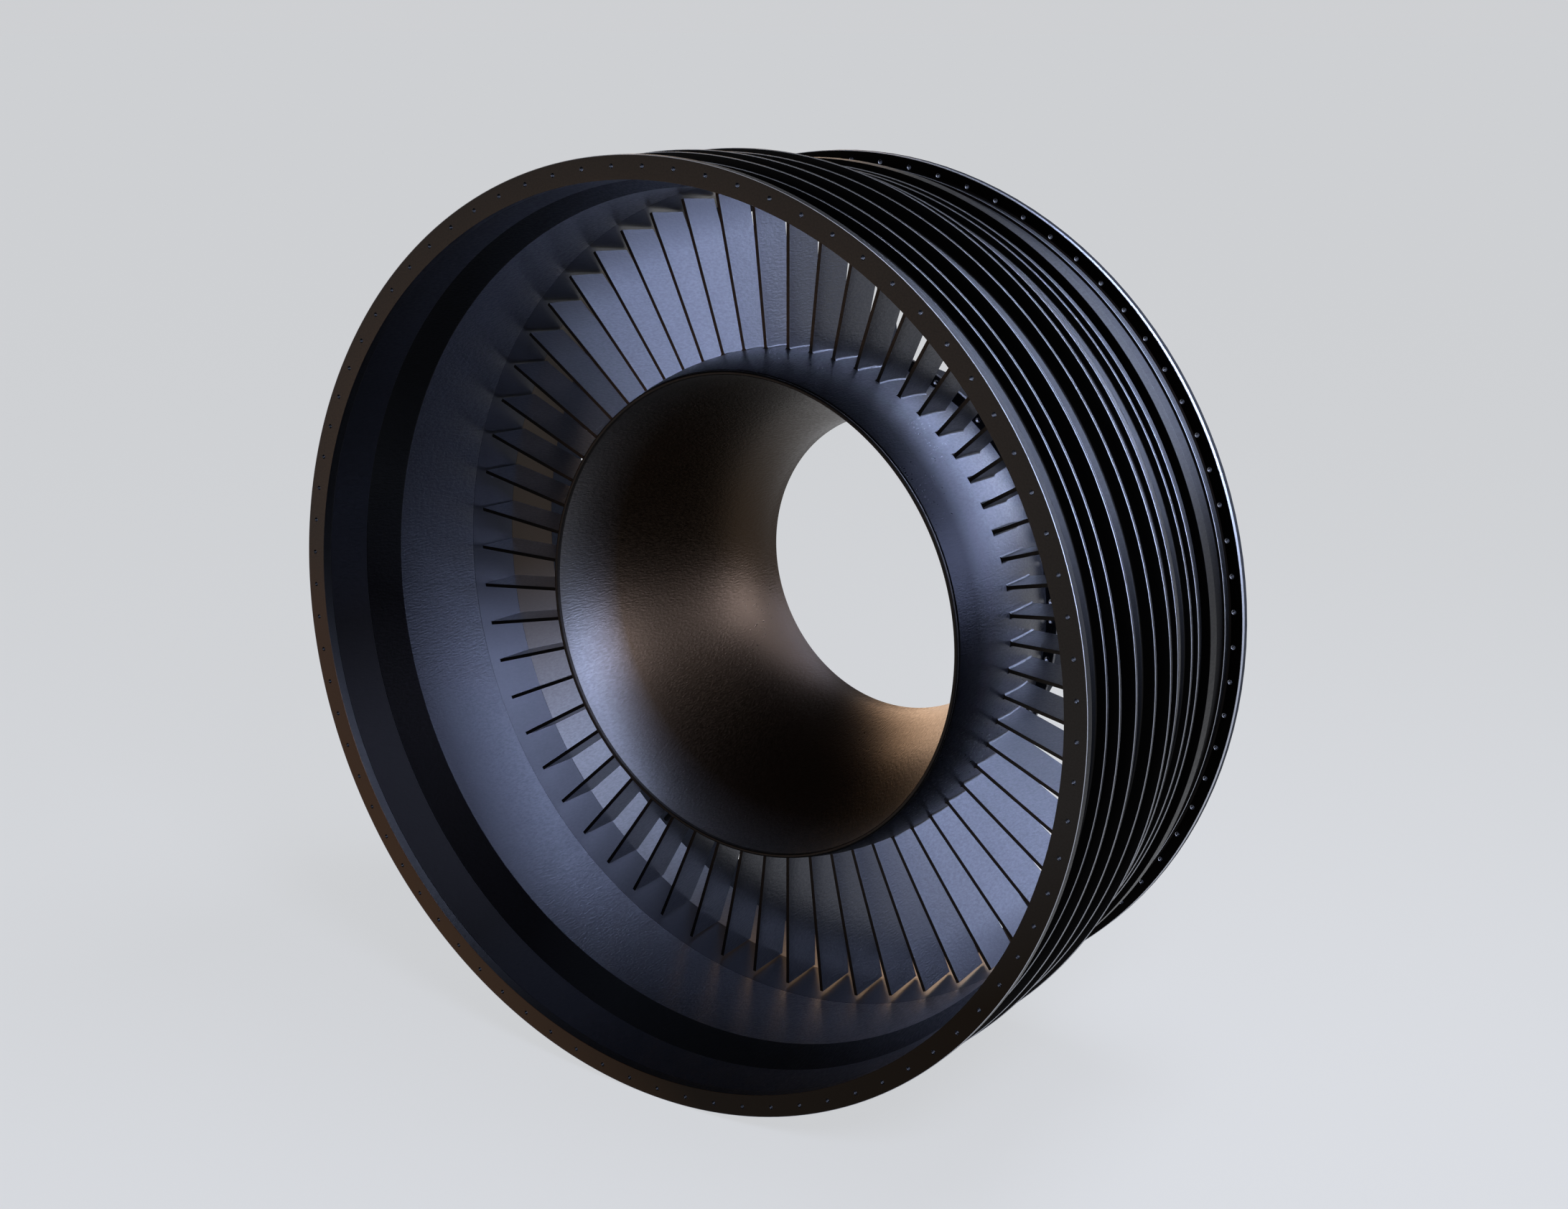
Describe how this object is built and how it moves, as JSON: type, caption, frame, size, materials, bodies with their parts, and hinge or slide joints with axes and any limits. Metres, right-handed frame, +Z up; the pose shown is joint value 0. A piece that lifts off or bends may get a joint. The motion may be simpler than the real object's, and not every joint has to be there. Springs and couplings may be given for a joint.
{
  "type": "jet engine module",
  "caption": "Jet engine module: ribbed ring case with drilled flanges, lined duct, and a wheel of flat radial blades on a roller bearing",
  "frame": {"origin": "centre of the front flange's front face, on the engine axis", "axes": "Y along the engine axis, from the inlet to the rear; +Z up; X to the right seen from the inlet"},
  "size_m": [1.2, 0.569, 1.1996],
  "materials": {
    "case_metal": "brushed round the axis, satin",
    "liner_metal": "fine turned grain",
    "ramp_coating": "dark dry-film coating",
    "blade_metal": "fine ground",
    "bowl_metal": "spun satin",
    "shaft_steel": "turned",
    "bearing_steel": "ground",
    "seal_bronze": "turned",
    "fastener_steel": "machined"
  },
  "bodies": {
    "case": {"outer_case": "case_metal", "inlet_liner": "liner_metal", "ramp_ring": "ramp_coating", "duct_liner": "liner_metal", "tip_shroud": "liner_metal", "exit_liner": "liner_metal", "exit_frame": "case_metal", "frame_screws": "fastener_steel", "bearing_housing": "case_metal", "bearing_cover": "case_metal", "housing_screws": "fastener_steel", "labyrinth_seal": "seal_bronze", "bearing_outer_race": "bearing_steel"},
    "rotor": {"hub_drum": "blade_metal", "blade_row": "blade_metal", "hub_bowl": "bowl_metal", "bowl_screws": "fastener_steel", "stub_shaft": "shaft_steel", "shaft_bolts": "fastener_steel", "shaft_nuts": "fastener_steel", "nut_washer": "fastener_steel", "shaft_nut": "fastener_steel", "bearing_inner_race": "bearing_steel"},
    "bearing_set": {"bearing_cage": "seal_bronze", "bearing_rollers": "bearing_steel"}
  },
  "joints": [
    {"name": "rotor_spin", "type": "hinge", "parent": "case", "child": "rotor", "pos_m": [0, 0.5, 0], "axis": [0, 1, 0], "continuous": true},
    {"name": "cage_spin", "type": "hinge", "parent": "case", "child": "bearing_set", "pos_m": [0, 0.53, 0], "axis": [0, 1, 0], "continuous": true}
  ],
  "couplings": [
    {"joint": "cage_spin", "follows": "rotor_spin", "ratio": 0.4862}
  ]
}
